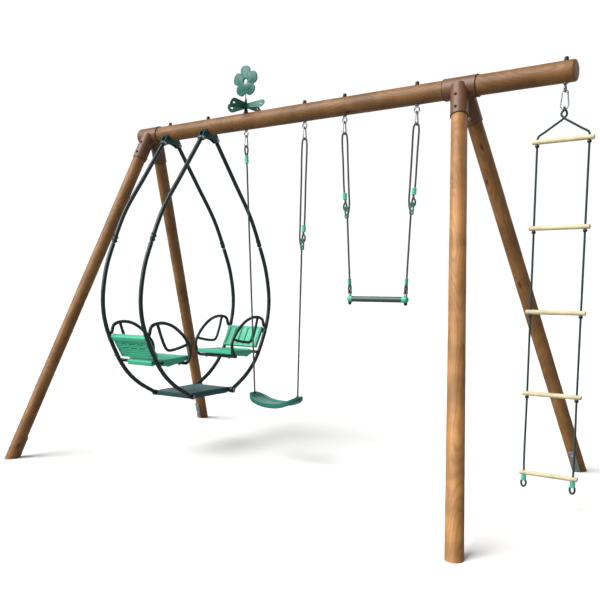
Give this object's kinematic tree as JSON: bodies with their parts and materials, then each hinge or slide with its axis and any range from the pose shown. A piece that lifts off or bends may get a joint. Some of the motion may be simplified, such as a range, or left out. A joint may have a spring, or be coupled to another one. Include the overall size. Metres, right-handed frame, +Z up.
{
  "type": "swing set",
  "caption": "Round-pole wooden swing set with a face-to-face glider, a swing, a trapeze, a rope ladder and a wind spinner under one beam.",
  "frame": {"origin": "on the ground, in the middle of the set's length and depth", "axes": "+X along the beam towards the rope ladder, +Y from front to back, +Z up"},
  "size_m": [3.5118, 1.9847, 2.542],
  "materials": {
    "stained_wood": "satin",
    "bracket_paint": "satin",
    "tube_paint": "gloss",
    "zinc": "satin",
    "mint_plastic": "gloss",
    "teal_plastic": "gloss",
    "dark_teal_plastic": "satin",
    "rope": "matte",
    "pale_wood": "satin"
  },
  "bodies": {
    "frame": {"crossbeam": "stained_wood", "corner_bracket_left": "bracket_paint", "leg_left_front": "stained_wood", "ground_anchor_left_front": "zinc", "leg_left_rear": "stained_wood", "ground_anchor_left_rear": "zinc", "corner_bracket_right": "bracket_paint", "leg_right_front": "stained_wood", "ground_anchor_right_front": "zinc", "leg_right_rear": "stained_wood", "ground_anchor_right_rear": "zinc", "eye_bolt_swing_left": "zinc", "eye_bolt_swing_right": "zinc", "eye_bolt_trapeze_left": "zinc", "eye_bolt_trapeze_right": "zinc", "eye_bolt_ladder": "zinc", "glider_hanger_left": "tube_paint", "glider_hanger_right": "tube_paint", "spinner_post": "dark_teal_plastic", "spinner_flower_plate": "teal_plastic"},
    "spinner": {"spinner_propeller": "teal_plastic"},
    "glider_front": {"glider_front_upper_tube_left": "tube_paint", "glider_front_lower_tube_left": "tube_paint", "glider_front_upper_tube_right": "tube_paint", "glider_front_lower_tube_right": "tube_paint", "glider_front_armrest_frame": "tube_paint", "glider_front_seat_bar": "tube_paint", "glider_front_backrest": "mint_plastic", "glider_front_seat_pan": "mint_plastic"},
    "glider_rear": {"glider_rear_upper_tube_left": "tube_paint", "glider_rear_lower_tube_left": "tube_paint", "glider_rear_upper_tube_right": "tube_paint", "glider_rear_lower_tube_right": "tube_paint", "glider_rear_armrest_frame": "tube_paint", "glider_rear_seat_bar": "tube_paint", "glider_rear_backrest": "mint_plastic", "glider_rear_seat_pan": "mint_plastic"},
    "footrest": {"footrest_board": "dark_teal_plastic", "footrest_front_rod": "tube_paint", "footrest_rear_rod": "tube_paint"},
    "swing_ropes": {"swing_carabiner_left": "zinc", "swing_carabiner_right": "zinc", "swing_rope_left": "rope", "swing_rope_right": "rope"},
    "swing_seat": {"swing_seat": "teal_plastic"},
    "trapeze_ropes": {"trapeze_carabiner_left": "zinc", "trapeze_carabiner_right": "zinc", "trapeze_rope_left": "rope", "trapeze_rope_right": "rope"},
    "trapeze_bar": {"trapeze_bar": "dark_teal_plastic", "trapeze_bar_eye_left": "zinc", "trapeze_bar_eye_right": "zinc"},
    "ladder": {"ladder_carabiner": "zinc", "ladder_rope": "rope", "ladder_rung_1": "pale_wood", "ladder_rung_2": "pale_wood", "ladder_rung_3": "pale_wood", "ladder_rung_4": "pale_wood", "ladder_rung_5": "pale_wood"}
  },
  "joints": [
    {"name": "glider_front_swing", "type": "hinge", "parent": "frame", "child": "glider_front", "pos_m": [-0.91213, -0.07, 2.125], "axis": [1, 0, 0], "range_deg": [-15, 15]},
    {"name": "glider_rear_swing", "type": "hinge", "parent": "frame", "child": "glider_rear", "pos_m": [-0.91213, 0.07, 2.125], "axis": [1, 0, 0], "range_deg": [-15, 15]},
    {"name": "footrest_tilt", "type": "hinge", "parent": "glider_front", "child": "footrest", "pos_m": [-0.91213, -0.205, 0.415], "axis": [1, 0, 0], "range_deg": [-6, 6]},
    {"name": "swing_swing", "type": "hinge", "parent": "frame", "child": "swing_ropes", "pos_m": [-0.18213, 0, 2.106], "axis": [1, 0, 0], "range_deg": [-50, 50]},
    {"name": "swing_seat_tilt", "type": "hinge", "parent": "swing_ropes", "child": "swing_seat", "pos_m": [-0.18213, 0, 0.462], "axis": [1, 0, 0], "range_deg": [-12, 12]},
    {"name": "trapeze_swing", "type": "hinge", "parent": "frame", "child": "trapeze_ropes", "pos_m": [0.56787, 0, 2.106], "axis": [1, 0, 0], "range_deg": [-50, 50]},
    {"name": "trapeze_bar_tilt", "type": "hinge", "parent": "trapeze_ropes", "child": "trapeze_bar", "pos_m": [0.56787, 0, 1.132], "axis": [1, 0, 0], "range_deg": [-40, 40]},
    {"name": "ladder_swing", "type": "hinge", "parent": "frame", "child": "ladder", "pos_m": [1.60487, 0, 2.1155], "axis": [1, 0, 0], "range_deg": [-18, 18]},
    {"name": "spinner_spin", "type": "hinge", "parent": "frame", "child": "spinner", "pos_m": [-0.41213, 0, 2.298], "axis": [0, 0, 1], "continuous": true}
  ],
  "couplings": [
    {"joint": "glider_rear_swing", "follows": "glider_front_swing", "ratio": 1},
    {"joint": "footrest_tilt", "follows": "glider_front_swing", "ratio": -0.34146}
  ]
}
